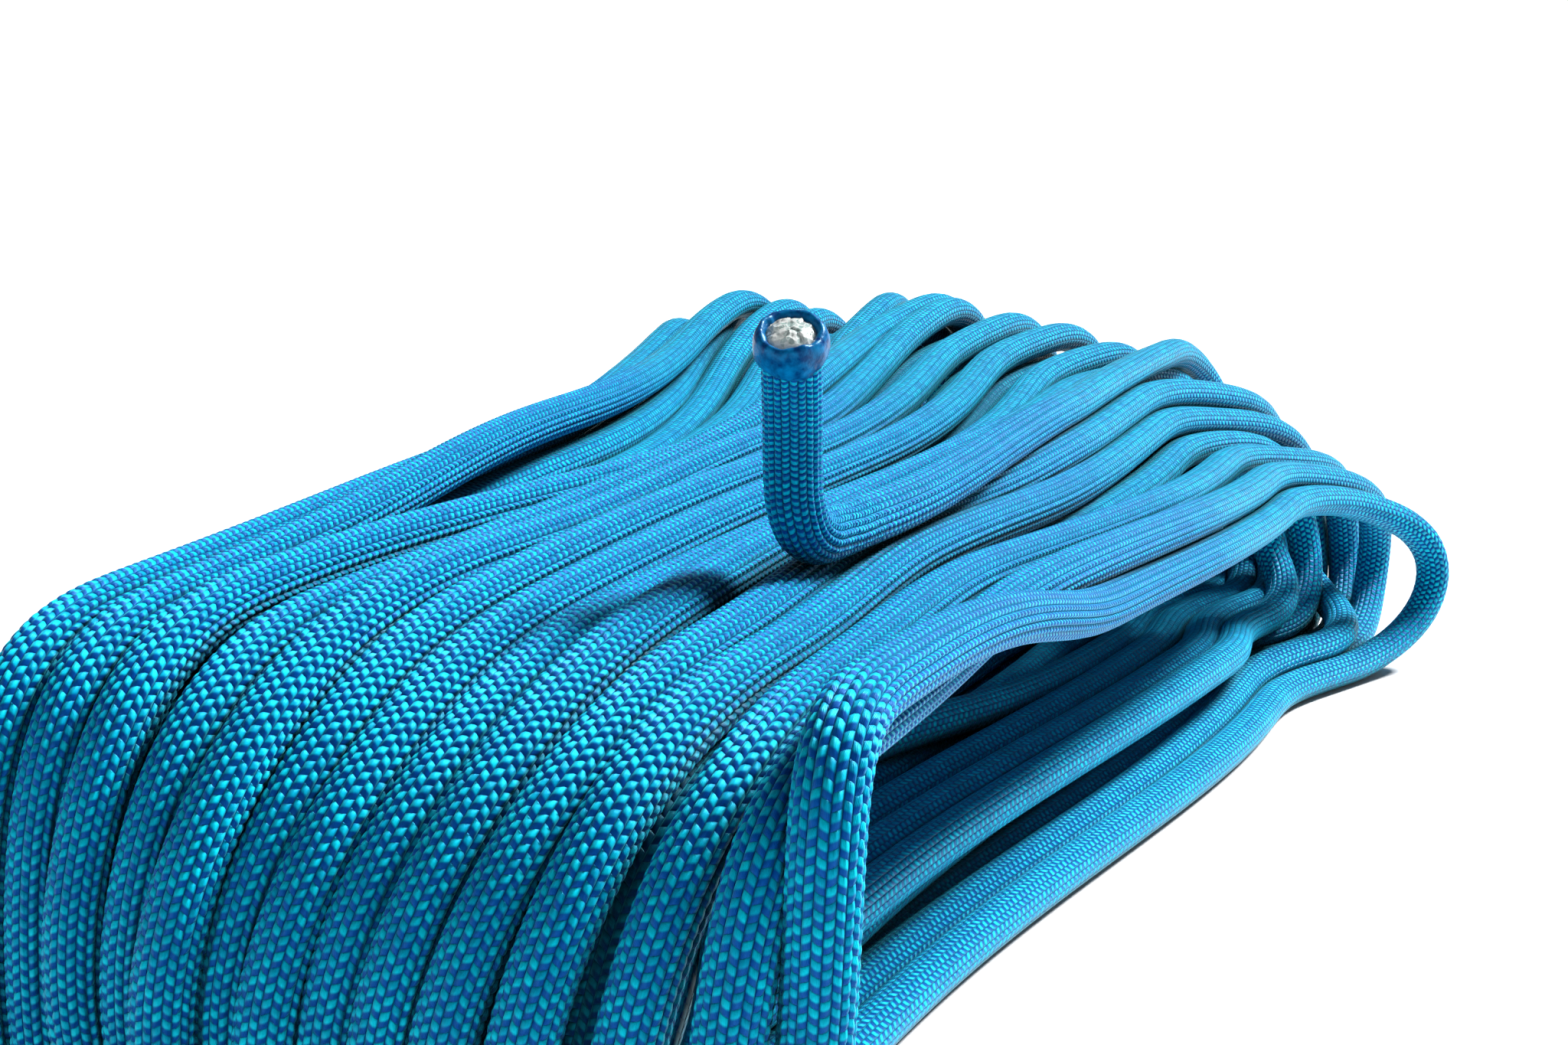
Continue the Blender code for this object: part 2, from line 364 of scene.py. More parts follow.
def turn_profile(layer, share_from, rng, hank, radius):
    """A turn seen from the side: its x, its lift from -1 to 1, and how far along the bottom
    each point is."""
    step = radius * LAYER_STEP
    stray = hank.unevenness
    outermost = layer == 0 and share_from == 0.0
    right_most = max(0.0, 1.0 - share_from * EDGE_TURNS)
    left_most = max(0.0, share_from * EDGE_TURNS - (EDGE_TURNS - 1.0))
    far_x = FAR_REACH - FAR_RIGHT_SHORT * right_most ** 2 - FAR_LEFT_SHORT * left_most ** 3
    far_x = min(far_x + rng.normal(0, stray * FAR_STRAY), FAR_LIMIT) - layer * step * FAR_LAYER_STEP
    near_x = NEAR_REACH + NEAR_LEFT_SHORT * ramp(share_from, *NEAR_LEFT_SPAN) + layer * step
    near_x = near_x + (NEAR_OUTERMOST if outermost else abs(rng.normal(0, stray * NEAR_STRAY)))
    far_round = FAR_ROUND - layer * step * FAR_ROUND_LAYER - FAR_ROUND_RIGHT * right_most
    near_round = NEAR_ROUND + NEAR_ROUND_GROWTH * ramp(share_from, *NEAR_ROUND_SPAN)
    near_round = max(near_round - layer * step * NEAR_ROUND_LAYER, NEAR_ROUND_LEAST)
    near_round = near_round - NEAR_ROUND_LEFT * ramp(share_from, *NEAR_ROUND_LEFT_SPAN)
    power = CORNER_POWER + CORNER_GROWTH * ramp(share_from, *CORNER_SPAN)
    power = power - CORNER_LEFT * ramp(share_from, *CORNER_LEFT_SPAN)

    bottom_x = np.arange(near_x + near_round, far_x - far_round, SPACING)
    count = len(bottom_x)
    far_angle = np.linspace(-math.pi / 2, math.pi / 2, FAR_ARC_POINTS)[1:-1]
    near_angle = np.linspace(math.pi / 2, 3 * math.pi / 2, NEAR_ARC_POINTS)[1:-1]
    far_arc_x = far_x - far_round + far_round * np.cos(far_angle)
    near_arc_x = near_x + near_round + near_round * signed_power(np.cos(near_angle), power)
    near_lift = signed_power(np.sin(near_angle), power)
    x = np.concatenate([bottom_x, far_arc_x, bottom_x[::-1], near_arc_x])
    lift = np.concatenate([
        np.full(count, -1.0), np.sin(far_angle), np.full(count, 1.0), near_lift,
    ])
    progress = np.concatenate([np.linspace(0, 1, count), np.ones(len(x) - count)])
    return x, lift, progress


def turn(layer, share_from, share_to, rng, hank, radius):
    """One turn: along the bottom, up the far end, back along the top, down the near end.
    A share is the turn's place across the hank, from 0 at the right to 1 at the left."""
    step = radius * LAYER_STEP
    outermost = layer == 0 and share_from == 0.0
    x, lift, progress = turn_profile(layer, share_from, rng, hank, radius)
    stray = hank.unevenness
    sag = rng.normal(0, stray, 4)
    sway = rng.normal(0, stray, 5)
    sway = sway * (SWAY_LEAST + SWAY_GROWTH * ramp(share_from, *SWAY_GROWTH_SPAN))
    run = (x + HALF_LENGTH) / (2 * HALF_LENGTH) * math.pi
    share = share_from + (share_to - share_from) * ramp(progress, *STEP_OVER_SPAN)
    high_share = (lift + 1) / 2

    # Across the hank: between its right and left edges, which the inner layers keep inside
    inset = radius * SIDE_INSET
    upright = math.exp(-UPRIGHT_FADE * share_from)
    top_side = high_share ** 2 * (1.0 - upright) + ramp(high_share, *UPRIGHT_SPAN) * upright
    right = low_right_edge(x) + (high_right_edge(x) - low_right_edge(x)) * top_side + inset
    left = low_left_edge(x) + (high_left_edge(x) - low_left_edge(x)) * top_side - inset
    tucked = (0.0 if outermost else TUCK) + TUCK_LAYER * layer * max(layer - 1, 0)
    right = right + tucked * ramp(x, *FAN_SPAN)
    tucked = NEAR_TUCK_LAYER * layer + (0.0 if outermost else NEAR_TUCK)
    right = right + tucked * ramp(-x, *NEAR_TUCK_SPAN)
    right = right + HIGH_TUCK_LAYER * layer * high_share * ramp(x, *HIGH_TUCK_SPAN)
    crowded = share ** (1.0 + FAN_CROWDING * ramp(x, *FAN_SPAN))
    y = right + (left - right) * crowded
    swing = LOW_SWING * np.sin(share * math.pi)
    y = y - swing * (1 - high_share) * ramp(x, *LOW_SWING_SPAN)
    if outermost:
        y = y - LAST_LOOP_OUT * (1.0 - lift ** 2) * ramp(x, *LAST_LOOP_SPAN)
    leaning = LEAN * np.sin(math.pi * np.clip(share * LEAN_SHARE, 0.0, 1.0))
    y = y + leaning * (1 - high_share ** 2) * ramp(-x, *LEAN_SPAN)
    y = y + (sway[0] * np.sin(run) + sway[1] * np.sin(2 * run)) * SWAY_RUN
    y = y + (sway[2] + sway[3] * lift) * ramp(x, *SWAY_FAR_SPAN) * SWAY_FAR

    # Up and down: between the floor and the hank's top, less the layers outside this one
    inside = layer * step * (1.0 - INSIDE_THINNING * ramp(x, *INSIDE_SPAN))
    low = radius * LOWEST + inside
    high = top_height(x, y) - radius - inside
    high = high + FAR_RISE * ramp(x, *FAR_RISE_SPAN) * ramp(share_from, *FAR_RISE_SHARES)
    high = high - np.abs(sag[0]) * np.sin(run) * SAG_RUN
    high = high + sag[1] * ramp(x, *SAG_FAR_SPAN) * SAG_FAR
    beside = np.exp(-(((y - STANDING_ROUTE[0][1]) / BESIDE_END_WIDTH) ** 2))
    high = high + BESIDE_END_RISE * beside * ramp(x, *BESIDE_END_SPAN)
    high = high + (OUTERMOST_RISE if outermost else 0.0) * ramp(-x, *OUTERMOST_RISE_SPAN)
    if layer == 0 and share_from > CROSSING_FROM_SHARE and rng.random() < hank.crossings:
        middle = rng.uniform(*CROSSING_MIDDLE)
        across = ramp(x, middle - CROSSING_REACH, middle + CROSSING_REACH) * high_share
        y = y + across * rng.choice([-1.0, 1.0]) * rng.uniform(*CROSSING_SHIFT)
        high = high + CROSSING_RISE * np.exp(-(((x - middle) / CROSSING_RISE_WIDTH) ** 2))
    z = low + (high - low) * high_share
    return np.stack([x, y, z], axis=1)


# The first turn starts, and the last one ends, part of the way along the bottom
FIRST_TURN_FROM = 0.052
LAST_TURN_TO = 0.070


def wound_route(cord, hank):
    """The whole cord before it settles, from the tail's tip to the standing end's tip.
    Also gives each point's layer, and 1 where the point must stay where it is."""
    rng = np.random.default_rng(hank.seed)
    radius = cord.diameter / 2
    tail = spaced(np.array(TAIL_ROUTE[::-1]), SPACING)
    standing = spaced(np.array(STANDING_ROUTE), SPACING)
    pieces, layers, held = [tail], [np.full(len(tail), 0)], [np.ones(len(tail))]
    for layer in reversed(range(hank.layers)):
        leftwards = (hank.layers - 1 - layer) % 2 == 1
        nested = 0.5 * (layer % 2)
        for index in range(hank.turns - layer % 2):
            place = index + nested
            shares = (place / (hank.turns - 1), min((place + 1) / (hank.turns - 1), 1.0))
            if not leftwards:
                shares = (1 - shares[0], 1 - shares[1])
            points = turn(layer, *shares, rng, hank, radius)
            if len(pieces) == 1:
                points = points[np.argmax(points[:, 0] > FIRST_TURN_FROM):]
            pieces.append(points)
            layers.append(np.full(len(points), layer))
            held.append(np.zeros(len(points)))
    last = turn(0, 0.0, 0.0, rng, hank, radius)
    half = last[: np.argmax(last[:, 0] > LAST_TURN_TO)]
    over = spaced(np.array(OVER_ROUTE), SPACING)
    pieces += [half, over, standing]
    layers += [np.full(len(half), 0), np.full(len(over), -1), np.full(len(standing), -1)]
    held += [np.zeros(len(half)), np.zeros(len(over)), np.ones(len(standing))]
    return np.concatenate(pieces), np.concatenate(layers), np.concatenate(held)


# How the cord settles. Points this many apart along it don't push each other, and others are
# pushed until they are TOUCHING diameters apart; the rest are shares done in each round.
NEIGHBOURS = 4
TOUCHING = 0.985
SEARCH_REACH = 1.5
SEARCH_EVERY = 6
EASING = 0.5
BEND_PASSES = 3
HOMING = 0.012
LENGTH_EASING = 0.25


def close_pairs(points, reach):
    """Pairs of points nearer than reach that aren't neighbours along the cord."""
    cell = np.floor(points / reach).astype(np.int64)
    cell -= cell.min(axis=0)
    size = cell.max(axis=0) + 3
    key = (cell[:, 0] * size[1] + cell[:, 1]) * size[2] + cell[:, 2]
    order = np.argsort(key, kind="stable")
    sorted_key = key[order]
    found = []
    for dx, dy, dz in itertools.product((-1, 0, 1), repeat=3):
        other = key + (dx * size[1] + dy) * size[2] + dz
        low = np.searchsorted(sorted_key, other, side="left")
        high = np.searchsorted(sorted_key, other, side="right")
        count = high - low
        for extra in range(int(count.max(initial=0))):
            has = np.nonzero(count > extra)[0]
            mate = order[low[has] + extra]
            keep = mate > has + NEIGHBOURS
            found.append(np.stack([has[keep], mate[keep]], axis=1))
    pairs = np.concatenate(found)
    gap = np.linalg.norm(points[pairs[:, 0]] - points[pairs[:, 1]], axis=1)
    return pairs[gap < reach]


def softened(points, held, rounds=5):
    """The route with the corners between its pieces rounded off."""
    free = (1.0 - held)[1:-1, None]
    for _ in range(rounds):
        points = points.copy()
        points[1:-1] += ((points[:-2] + points[2:]) / 2 - points[1:-1]) * free * EASING
    return points


def settle(points, held, radius, rounds=90):
    """Lets the turns push each other apart until they only touch, each near its own place."""
    home = points.copy()
    free = (1.0 - held)[:, None]
    rest = np.linalg.norm(np.diff(points, axis=0), axis=1)
    apart = 2 * radius * TOUCHING
    for step in range(rounds):
        if step % SEARCH_EVERY == 0:
            pairs = close_pairs(points, 2 * radius * SEARCH_REACH)
        near = points[pairs[:, 0]] - points[pairs[:, 1]]
        gap = np.linalg.norm(near, axis=1)
        hit = gap < apart
        first, second = pairs[hit, 0], pairs[hit, 1]
        push = near[hit] * ((apart - gap[hit]) / np.maximum(gap[hit], TINY))[:, None] * 0.5
        move = np.zeros_like(points)
        count = np.ones(len(points))
        np.add.at(move, first, push)
        np.add.at(move, second, -push)
        np.add.at(count, first, 1)
        np.add.at(count, second, 1)
        move /= np.maximum(count - 1, 1.0)[:, None] ** 0.5
        points = points + move * free
        shift = points - home
        for _ in range(BEND_PASSES):
            shift[1:-1] += ((shift[:-2] + shift[2:]) / 2 - shift[1:-1]) * free[1:-1] * EASING
        points = home + shift * (1 - HOMING * free)
        ahead = np.diff(points, axis=0)
        length = np.linalg.norm(ahead, axis=1)
        fix = ahead * ((length - rest) / np.maximum(length, TINY))[:, None] * LENGTH_EASING
        points[:-1] += fix * free[:-1]
        points[1:] -= fix * free[1:]
        points[:, 2] = np.maximum(points[:, 2], radius)
    return points


# ---------------------------------------------------------------- the braided tube

FINE_COLUMNS = 60
COARSE_COLUMNS = 20
FINE_STEP = 0.00022
COARSE_STEP = 0.0013
# Length at the standing end where the braid is packed closer, and by how much
PACKED_LENGTH = 0.026
PACKING = 0.75
# How far a pick slants while it crosses its column, in picks, and its height at its ends
PICK_SLANT = 0.30
PICK_END_HEIGHT = 0.35
# The height that the smooth stretches are built at, and where the relief fades into them
MEAN_HEIGHT = 0.65
RELIEF_SPAN = (0.000, 0.030)
# A flattened cord gets thinner by one share of its flatness and wider by another
THINNER = 0.62
WIDER = 0.50
# Beyond these, a turn's outside faces along the hank as well as up or down
FAR_FOLD_FROM = 0.080
NEAR_FOLD_FROM = -0.078


def unit(vectors):
    return vectors / np.maximum(np.linalg.norm(vectors, axis=-1, keepdims=True), TINY)


def outward_of(points):
    """The direction out of the hank at each point of its winding."""
    middle_z = top_height(points[:, 0], points[:, 1]) / 2
    out = np.zeros_like(points)
    x = points[:, 0]
    near = np.minimum(x - NEAR_FOLD_FROM, 0.0)
    out[:, 0] = np.where(x > FAR_FOLD_FROM, x - FAR_FOLD_FROM, near)
    out[:, 2] = points[:, 2] - middle_z
    return unit(out)


def carried_sides(points, wanted, pull):
    """A side vector at each point that turns with the cord, drawn towards the wanted one."""
    ahead = unit(np.gradient(points, axis=0))
    side = np.zeros_like(points)
    now = wanted[0] - ahead[0] * np.dot(wanted[0], ahead[0])
    now /= np.linalg.norm(now)
    for i in range(len(points)):
        t = ahead[i]
        now = now - t * np.dot(now, t)
        if pull[i] > 0:
            aim = wanted[i] - t * np.dot(wanted[i], t)
            now = now + aim * pull[i]
        now = now / math.sqrt(np.dot(now, now))
        side[i] = now
    return ahead, side


def pick_height(around, along, pitch, stripes):
    """The braid's height, 0 to 1: columns of short picks that slant left and right by turns,
    each column half a pick along from the next."""
    u = around * stripes
    v = along / (pitch / stripes)
    column = np.floor(u)
    odd = column % 2
    inside = u - column - 0.5
    part = (v + (2 * odd - 1) * PICK_SLANT * inside + 0.5 * odd) % 1.0
    across = 1 - (2 * inside) ** 2
    lengthwise = 1 - (2 * part - 1) ** 2
    return np.sqrt(across) * (PICK_END_HEIGHT + (1 - PICK_END_HEIGHT) * np.sqrt(lengthwise))


def ring_places(points, fine):
    """Where the rings go: closely spaced where fine is 1, further apart elsewhere."""
    along = along_of(points)
    places, is_fine = [], []
    edges = np.nonzero(np.diff(fine))[0] + 1
    starts = np.concatenate([[0], edges])
    ends = np.concatenate([edges, [len(points) - 1]])
    for start, end in zip(starts, ends):
        step = FINE_STEP if fine[start] else COARSE_STEP
        count = max(2, int(round((along[end] - along[start]) / step)))
        places.append(np.linspace(along[start], along[end], count + 1)[:-1])
        is_fine.append(np.full(count, fine[start]))
    places.append([along[-1]])
    is_fine.append([fine[-1]])
    return along, np.concatenate(places), np.concatenate(is_fine).astype(bool)


def tube_coords(centre, across, other, squash, woven, is_fine, offsets, cord):
    """The tube's vertices: a ring at each place, then the middle of each end."""
    coords = np.empty((offsets[-1] + 2, 3))
    for fine, columns in ((True, FINE_COLUMNS), (False, COARSE_COLUMNS)):
        rows = np.nonzero(is_fine == fine)[0]
        share = np.arange(columns) / columns
        angle = share * 2 * math.pi
        height = np.full((len(rows), columns), MEAN_HEIGHT)
        if fine:
            height = pick_height(
                share[None, :], woven[rows][:, None], cord.braid_pitch, cord.stripes
            )
        fading = (1.0 - ramp(centre[rows][:, 0], *RELIEF_SPAN))[:, None]
        reach = cord.diameter / 2 + cord.relief * (height - MEAN_HEIGHT) * fading
        thin = (1 - squash[rows] * THINNER)[:, None]
        wide = (1 + squash[rows] * WIDER)[:, None]
        up = np.cos(angle)[None, :] * reach * thin
        out = np.sin(angle)[None, :] * reach * wide
        ring = (
            centre[rows][:, None, :]
            + across[rows][:, None, :] * up[..., None]
            + other[rows][:, None, :] * out[..., None]
        )
        index = offsets[rows][:, None] + np.arange(columns)[None, :]
        coords[index.ravel()] = ring.reshape(-1, 3)
    coords[-2] = centre[0]
    coords[-1] = centre[-1]
    return coords


def band_faces(columns, chosen, offsets, woven):
    """Quads between neighbouring rings with the same number of columns."""
    j = np.arange(columns)
    k = (j + 1) % columns
    low = offsets[chosen][:, None]
    high = offsets[chosen + 1][:, None]
    quads = np.stack([low + j, low + k, high + k, high + j], axis=-1).reshape(-1)
    shape = (len(chosen), columns, 4)
    u = np.broadcast_to(np.stack([j, j + 1, j + 1, j], axis=-1) / columns, shape)
    v_low = woven[chosen][:, None]
    v_high = woven[chosen + 1][:, None]
    v = np.broadcast_to(np.stack([v_low, v_low, v_high, v_high], axis=-1), shape)
    return quads, np.full(len(chosen) * columns, 4), np.stack([u, v], axis=-1).reshape(-1, 2)


def seam_faces(row, fine_first, offsets, woven):
    """Faces between a fine ring and a coarse one, each with one coarse edge."""
    fine_row, coarse_row = (row, row + 1) if fine_first else (row + 1, row)
    ratio = FINE_COLUMNS // COARSE_COLUMNS
    for j in range(COARSE_COLUMNS):
        k = (j + 1) % COARSE_COLUMNS
        edge = [ratio * j + n for n in range(ratio, -1, -1)]
        face = [offsets[coarse_row] + j, offsets[coarse_row] + k]
        face += [offsets[fine_row] + n % FINE_COLUMNS for n in edge]
        uv = [(side / COARSE_COLUMNS, woven[coarse_row]) for side in (j, j + 1)]
        uv += [(n / FINE_COLUMNS, woven[fine_row]) for n in edge]
        yield (face[::-1], uv[::-1]) if fine_first else (face, uv)


def cap_faces(row, columns, middle, flip, offsets, woven):
    """Triangles from an end's ring to the end's middle."""
    for j in range(columns):
        k = (j + 1) % columns
        face = [offsets[row] + j, offsets[row] + k, middle]
        uv = [(place / columns, woven[row]) for place in (j, j + 1, j + 0.5)]
        yield (face[::-1], uv[::-1]) if flip else (face, uv)


def braided_tube(name, points, side, ahead, along, places, is_fine, cord, flat):
    """One closed tube with the braid's relief, with more columns where it is fine."""
    def at(values):
        return np.stack([np.interp(places, along, values[:, k]) for k in range(3)], axis=1)

    centre = spaced_at(points, along, places)
    axis = unit(at(ahead))
    across = at(side)
    across = unit(across - axis * (across * axis).sum(1, keepdims=True))
    other = np.cross(axis, across)
    squash = np.interp(places, along, flat)
    packed = np.maximum(places - (places[-1] - PACKED_LENGTH), 0.0)
    woven = places + PACKING * packed

    counts = np.where(is_fine, FINE_COLUMNS, COARSE_COLUMNS)
    offsets = np.concatenate([[0], np.cumsum(counts)])
    coords = tube_coords(centre, across, other, squash, woven, is_fine, offsets, cord)
    rows = np.arange(len(places) - 1)
    same = is_fine[:-1] == is_fine[1:]
    bands = [
        band_faces(FINE_COLUMNS, rows[same & is_fine[:-1]], offsets, woven),
        band_faces(COARSE_COLUMNS, rows[same & ~is_fine[:-1]], offsets, woven),
    ]
    single = []
    for row in rows[~same]:
        single += seam_faces(row, is_fine[row], offsets, woven)
    last = len(places) - 1
    single += cap_faces(0, counts[0], len(coords) - 2, True, offsets, woven)
    single += cap_faces(last, counts[last], len(coords) - 1, False, offsets, woven)
    loops = [band[0] for band in bands] + [face for face, uv in single]
    totals = [band[1] for band in bands] + [[len(face)] for face, uv in single]
    corners = [band[2] for band in bands] + [uv for face, uv in single]
    loops = np.concatenate(loops).astype(np.int32)
    totals = np.concatenate(totals).astype(np.int32)
    corners = np.concatenate(corners).astype(np.float32)
    return mesh_object(name, coords, loops, totals, corners)


def mesh_object(name, coords, loops, totals, corners=None):
    """A smooth object from its vertices, its faces' vertices and sizes, and their UVs."""
    mesh = bpy.data.meshes.new(name)
    mesh.vertices.add(len(coords))
    mesh.vertices.foreach_set("co", np.asarray(coords, np.float32).ravel())
    mesh.loops.add(len(loops))
    mesh.loops.foreach_set("vertex_index", loops)
    starts = np.concatenate([[0], np.cumsum(totals)[:-1]]).astype(np.int32)
    mesh.polygons.add(len(totals))
    mesh.polygons.foreach_set("loop_start", starts)
    mesh.polygons.foreach_set("loop_total", totals)
    mesh.update(calc_edges=True)
    if corners is not None:
        layer = mesh.uv_layers.new(name="weave")
        layer.data.foreach_set("uv", corners.ravel())
    mesh.validate()
    mesh.shade_smooth()
    made = bpy.data.objects.new(name, mesh)
    bpy.context.scene.collection.objects.link(made)
    return made


# ---------------------------------------------------------------- materials

# Filaments: lines along each pick, the slant they share with it, and their height
FILAMENT_WAVES = 62.0
FILAMENT_SLANT = 0.10
FILAMENT_HEIGHT = 0.022
# Where on a pick its painted highlight starts and ends, from 1 at its start to -1
PAINTED_HIGHLIGHT_START = 0.25
PAINTED_HIGHLIGHT_END = -0.10
# Colour of the painted shade where turns press against each other
PAINTED_SHADE_COLOUR = (0.000, 0.006, 0.030)


class Nodes:
    """Short hands for building a material's node tree."""

    def __init__(self, name):
        self.material = bpy.data.materials.new(name)
        self.material.use_nodes = True
        self.tree = self.material.node_tree
        self.shader = self.tree.nodes["Principled BSDF"]

    def add(self, kind, **values):
        node = self.tree.nodes.new(kind)
        for key, value in values.items():
            setattr(node, key, value)
        return node

    def put(self, values):
        """Sets the shader's own sockets by name."""
        for name, value in values.items():
            self.shader.inputs[name].default_value = value

    def link(self, source, target):
        self.tree.links.new(source, target)

    def math(self, operation, first, second=None):
        """A maths node for one or two values; either can be a number or a socket."""
        node = self.add("ShaderNodeMath", operation=operation)
        for socket, value in zip(node.inputs, (first, second)):
            if value is None:
                continue
            if isinstance(value, (int, float)):
                socket.default_value = value
            else:
                self.link(value, socket)
        return node.outputs[0]

    def mix(self, factor, first, second):
        """A blend of two colours; either can be fixed or a socket."""
        node = self.add("ShaderNodeMix", data_type="RGBA")
        self.link(factor, node.inputs[0])
        for socket, value in ((node.inputs[6], first), (node.inputs[7], second)):
            if isinstance(value, (tuple, list)):
                socket.default_value = (*value[:3], 1.0)
            else:
                self.link(value, socket)
        return node.outputs[2]

    def spread(self, value, low, high, out_low=0.0, out_high=1.0):
        """The value, with low to high stretched to out_low to out_high."""
        node = self.add("ShaderNodeMapRange")
        node.inputs["From Min"].default_value = low
        node.inputs["From Max"].default_value = high
        node.inputs["To Min"].default_value = out_low
        node.inputs["To Max"].default_value = out_high
        self.link(value, node.inputs["Value"])
        return node.outputs["Result"]

    def noise(self, scale, detail, vector):
        node = self.add("ShaderNodeTexNoise")
        node.inputs["Scale"].default_value = scale
        node.inputs["Detail"].default_value = detail
        self.link(vector, node.inputs["Vector"])
        return node.outputs["Fac"]

    def bump(self, height, distance, strength=1.0):
        """Fine relief on the shader's normal."""
        node = self.add("ShaderNodeBump")
        node.inputs["Strength"].default_value = strength
        node.inputs["Distance"].default_value = distance
        self.link(height, node.inputs["Height"])
        self.link(node.outputs["Normal"], self.shader.inputs["Normal"])


def braid_material(cord):
    """Nylon sheath: columns of short shiny picks that slant left and right by turns, coloured with
    painted highlights and painted shade.
    """
    n = Nodes("braided_nylon")
    uv = n.add("ShaderNodeUVMap", uv_map="weave")
    split = n.add("ShaderNodeSeparateXYZ")
    n.link(uv.outputs["UV"], split.inputs[0])
    u = n.math("MULTIPLY", split.outputs[0], float(cord.stripes))
    v = n.math("MULTIPLY", split.outputs[1], cord.stripes / cord.braid_pitch)
    column = n.math("FLOOR", u)
    odd = n.math("FLOORED_MODULO", column, 2.0)
    inside = n.math("SUBTRACT", n.math("FRACT", u), 0.5)
    sign = n.math("SUBTRACT", n.math("MULTIPLY", odd, 2.0), 1.0)
    slanted = n.math("MULTIPLY", n.math("MULTIPLY", sign, inside), PICK_SLANT)
    place = n.math("ADD", n.math("ADD", v, slanted), n.math("MULTIPLY", odd, 0.5))

    def dome(centred):
        return n.math("SQRT", n.math("SUBTRACT", 1.0, n.math("MULTIPLY", centred, centred)))

    centred = n.math("SUBTRACT", n.math("MULTIPLY", n.math("FRACT", place), 2.0), 1.0)
    lengthwise = n.spread(dome(centred), 0.0, 1.0, PICK_END_HEIGHT, 1.0)
    height = n.math("MULTIPLY", dome(n.math("MULTIPLY", inside, 2.0)), lengthwise)

    signed = n.math("MULTIPLY", sign, centred)
    line = n.math("ADD", inside, n.math("MULTIPLY", signed, FILAMENT_SLANT))
    filament = n.math("SINE", n.math("MULTIPLY", line, FILAMENT_WAVES))
    relief = n.math("ADD", height, n.math("MULTIPLY", filament, FILAMENT_HEIGHT))

    # Colour: painted shade deep in the gaps, a painted highlight on one half of each pick's crest,
    # each pick a little its own
    geometry = n.add("ShaderNodeNewGeometry")
    blotch = n.noise(260.0, 2.0, geometry.outputs["Position"])
    pick = n.add("ShaderNodeCombineXYZ")
    n.link(column, pick.inputs[0])
    n.link(n.math("FLOOR", place), pick.inputs[1])
    random = n.add("ShaderNodeTexWhiteNoise", noise_dimensions="3D")
    n.link(pick.outputs[0], random.inputs["Vector"])
    # Painted highlight: paler on one half of each pick along the cord and on its crest, as if lit
    # from above
    painted_lit_half = n.spread(centred, PAINTED_HIGHLIGHT_START, PAINTED_HIGHLIGHT_END)
    painted_highlight_mask = n.math("MULTIPLY", painted_lit_half, n.spread(height, 0.15, 0.70))
    streak = n.spread(filament, -1.0, 1.0, 0.80, 1.0)
    own = n.spread(random.outputs["Value"], 0.0, 1.0, 0.50, 1.0)
    painted_highlight = n.math("MULTIPLY", painted_highlight_mask, n.math("MULTIPLY", streak, own))
    # Painted shade: darker where the braid's height is low, in the gaps between the picks
    base = n.mix(n.spread(height, 0.05, 0.40), tuple(cord.gap_shade_and_mottle_colour), tuple(cord.colour))
    base = n.mix(painted_highlight, base, tuple(cord.painted_highlight_colour))
    # Random mottling of the yarn's tone, darker in patches
    shade = n.spread(blotch, 0.3, 0.7, 0.0, 0.22)
    base = n.mix(shade, base, tuple(cord.gap_shade_and_mottle_colour))
    # Painted shade: dark where turns press against each other, found with an occlusion node
    occlusion = n.add("ShaderNodeAmbientOcclusion", samples=6)
    occlusion.inputs["Distance"].default_value = 0.0045
    painted_shade = n.spread(occlusion.outputs["AO"], 0.62, 0.28)
    base = n.mix(painted_shade, base, PAINTED_SHADE_COLOUR)
    n.link(base, n.shader.inputs["Base Color"])
    n.bump(relief, 0.00026)
    n.link(n.spread(random.outputs["Value"], 0.0, 1.0, 0.34, 0.46), n.shader.inputs["Roughness"])
    n.put({
        "Sheen Weight": 0.35,
        "Sheen Roughness": 0.4,
        "Sheen Tint": (0.08, 0.80, 1.0, 1.0),
        "Specular IOR Level": 0.24,
        "Specular Tint": (0.12, 0.90, 1.0, 1.0),
        "Metallic": 0.10,
    })
    return n.material


def yarn_material():
    """Twisted white core yarn."""
    n = Nodes("core_yarn_nylon")
    place = n.add("ShaderNodeNewGeometry").outputs["Position"]
    wave = n.add("ShaderNodeTexWave", bands_direction="DIAGONAL")
    wave.inputs["Scale"].default_value = 900.0
    wave.inputs["Distortion"].default_value = 1.5
    n.link(place, wave.inputs["Vector"])
    tone = n.mix(wave.outputs["Fac"], (0.62, 0.64, 0.62), (0.90, 0.91, 0.88))
    n.link(tone, n.shader.inputs["Base Color"])
    n.bump(wave.outputs["Fac"], 0.00008)
    n.put({"Roughness": 0.5, "Sheen Weight": 0.3})
    return n.material


def melted_rim_material():
    """Sheath yarns melted into dark, glossy nylon."""
    n = Nodes("melted_sheath_nylon")
    place = n.add("ShaderNodeNewGeometry").outputs["Position"]
    cloud = n.noise(1400.0, 3.0, place)
    tone = n.mix(n.spread(cloud, 0.35, 0.7), (0.000, 0.025, 0.120), (0.000, 0.160, 0.380))
    n.link(tone, n.shader.inputs["Base Color"])
    n.bump(n.noise(2600.0, 2.0, place), 0.00010, strength=0.6)
    n.link(n.spread(cloud, 0.3, 0.7, 0.28, 0.45), n.shader.inputs["Roughness"])
    n.put({
        "IOR": 1.50,
        "Coat Weight": 0.04,
        "Coat Roughness": 0.06,
        "Specular IOR Level": 0.30,
        "Specular Tint": (0.10, 0.60, 1.0, 1.0),
    })
    return n.material


